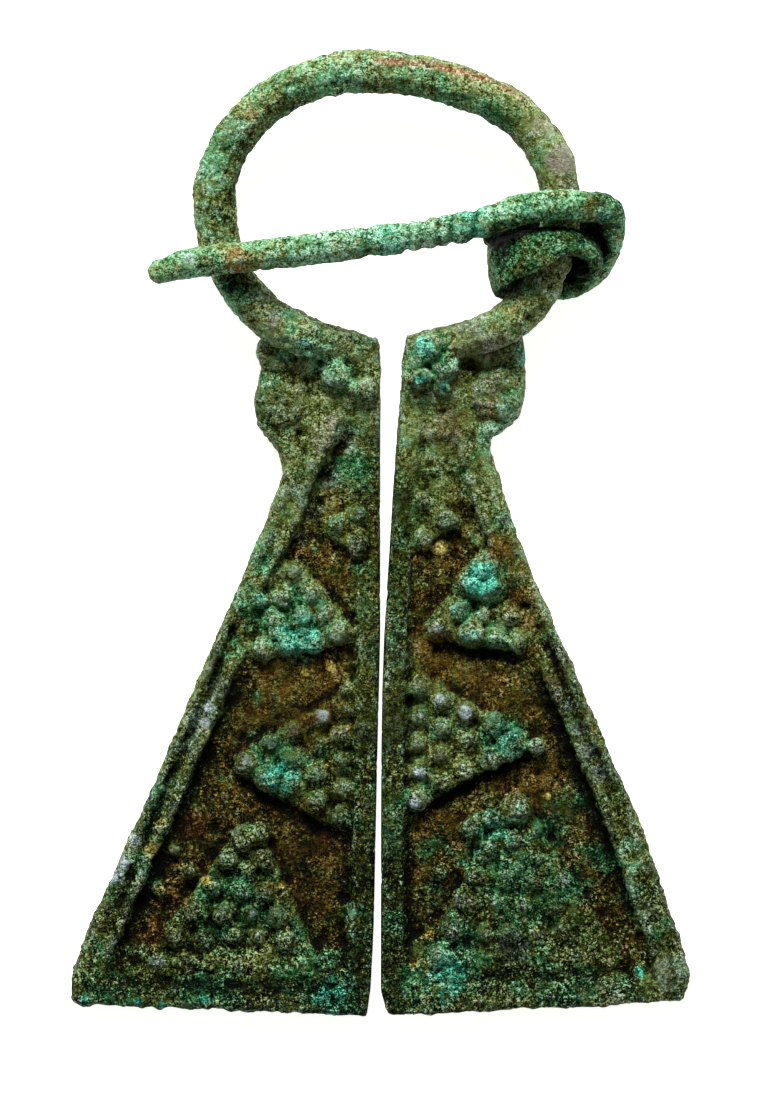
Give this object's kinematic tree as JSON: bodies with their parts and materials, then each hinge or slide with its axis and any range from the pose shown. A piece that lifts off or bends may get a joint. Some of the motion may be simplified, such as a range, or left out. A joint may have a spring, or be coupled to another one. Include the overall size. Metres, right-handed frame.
{
  "type": "penannular brooch",
  "caption": "Flat cast brooch: an open round hoop ending in two long triangular plates with granule groups, and a wire pin wound round one side of the hoop.",
  "frame": {"origin": "under the middle of the outline, on the surface that the brooch lies on", "axes": "+X to the right and +Y towards the hoop, seen from the front; +Z out of the front face"},
  "size_m": [0.0451, 0.07, 0.0079],
  "materials": {
    "body_bronze": "dark green corroded patina",
    "pin_bronze": "pale green corroded patina"
  },
  "bodies": {
    "brooch": {"brooch_body": "body_bronze"},
    "pin": {"pin": "pin_bronze"}
  },
  "joints": [
    {"name": "pin_swing", "type": "hinge", "parent": "brooch", "child": "pin", "pos_m": [0.01244, 0.02105, 0.00357], "axis": [0.2218, 0.9751, 0], "range_deg": [0, 175]}
  ]
}
